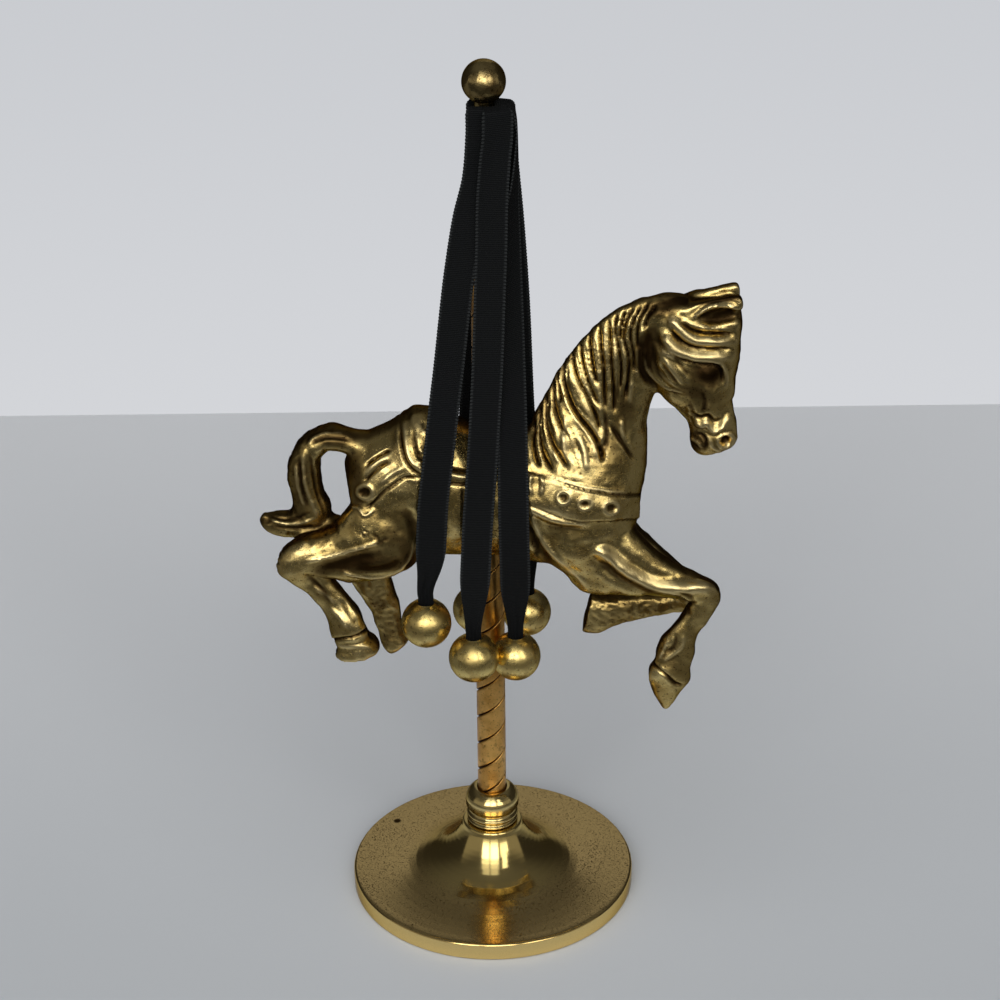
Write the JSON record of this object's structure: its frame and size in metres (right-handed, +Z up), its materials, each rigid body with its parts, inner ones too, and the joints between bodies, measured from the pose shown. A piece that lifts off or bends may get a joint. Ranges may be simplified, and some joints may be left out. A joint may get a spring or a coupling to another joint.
{
  "type": "carousel horse statue",
  "caption": "Cast brass carousel horse on a twisted pole, with black ribbons and brass balls hanging from the pole's top, on a round turned base.",
  "frame": {"origin": "middle of the base's flat underside, on the pole's axis", "axes": "+Z up along the pole, +X the way the horse faces, +Y to the horse's left, the far side in the main view"},
  "size_m": [0.1598, 0.1, 0.3073],
  "materials": {
    "base": "turned and polished brass, fine casting pits",
    "collar": "bright turned brass",
    "pole": "reddish brass with a dark spiral groove",
    "finial_ball": "polished brass, slightly tarnished",
    "horse": "antiqued cast brass, dark in the hollows and rubbed bright on the high places",
    "balls": "satin brass, mottled",
    "ribbons": "black ribbed ribbon with looped edges"
  },
  "bodies": {
    "root": {"base": "base", "collar": "collar", "pole": "pole", "finial_ball": "finial_ball", "horse": "horse", "ball_a": "balls", "ball_b": "balls", "ball_c": "balls", "ball_d": "balls", "ball_e": "balls", "ribbon_a": "ribbons", "ribbon_b": "ribbons", "ribbon_c": "ribbons", "ribbon_d": "ribbons", "ribbon_e": "ribbons"}
  },
  "joints": []
}
